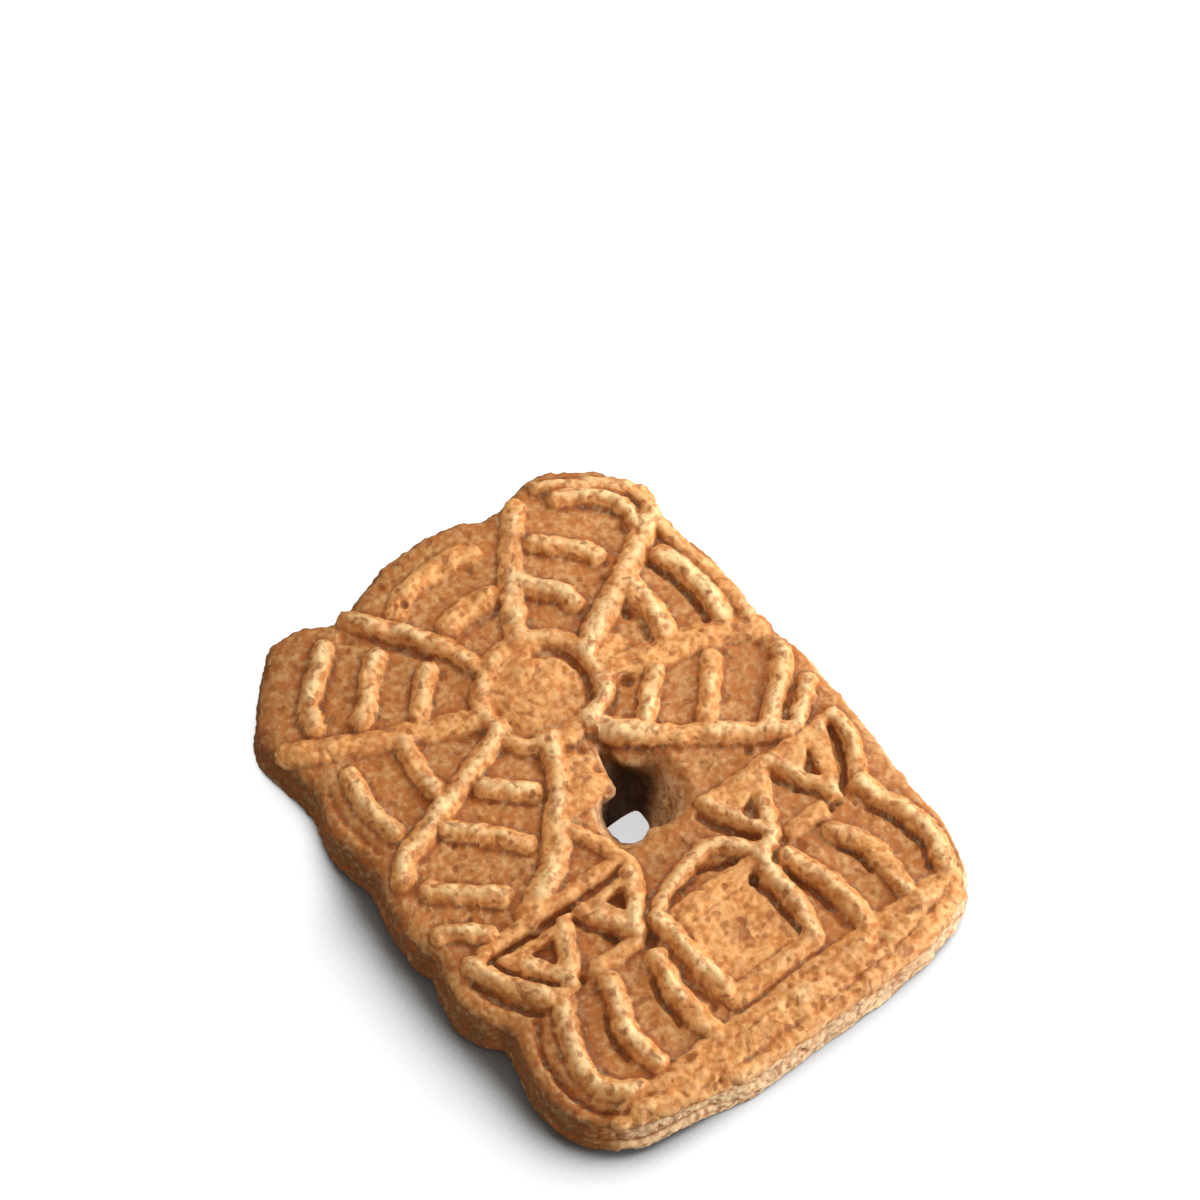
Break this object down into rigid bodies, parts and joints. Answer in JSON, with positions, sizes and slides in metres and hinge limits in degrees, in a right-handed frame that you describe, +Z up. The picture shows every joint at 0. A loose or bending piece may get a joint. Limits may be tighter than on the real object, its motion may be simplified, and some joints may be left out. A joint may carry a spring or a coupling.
{
  "type": "speculoos biscuit",
  "caption": "Thin crisp spiced biscuit pressed in a mould, with a raised windmill pattern, an uneven edge and a worn hole through it.",
  "frame": {"origin": "middle of the biscuit's box, on the surface that it lies on", "axes": "+X across the biscuit, to the right with the windmill upright; +Y along it, from the door sill up to the sails; +Z up out of the moulded face"},
  "size_m": [0.0534, 0.0694, 0.0081],
  "materials": {
    "crumb": "matte"
  },
  "bodies": {
    "root": {"biscuit": "crumb"}
  },
  "joints": []
}
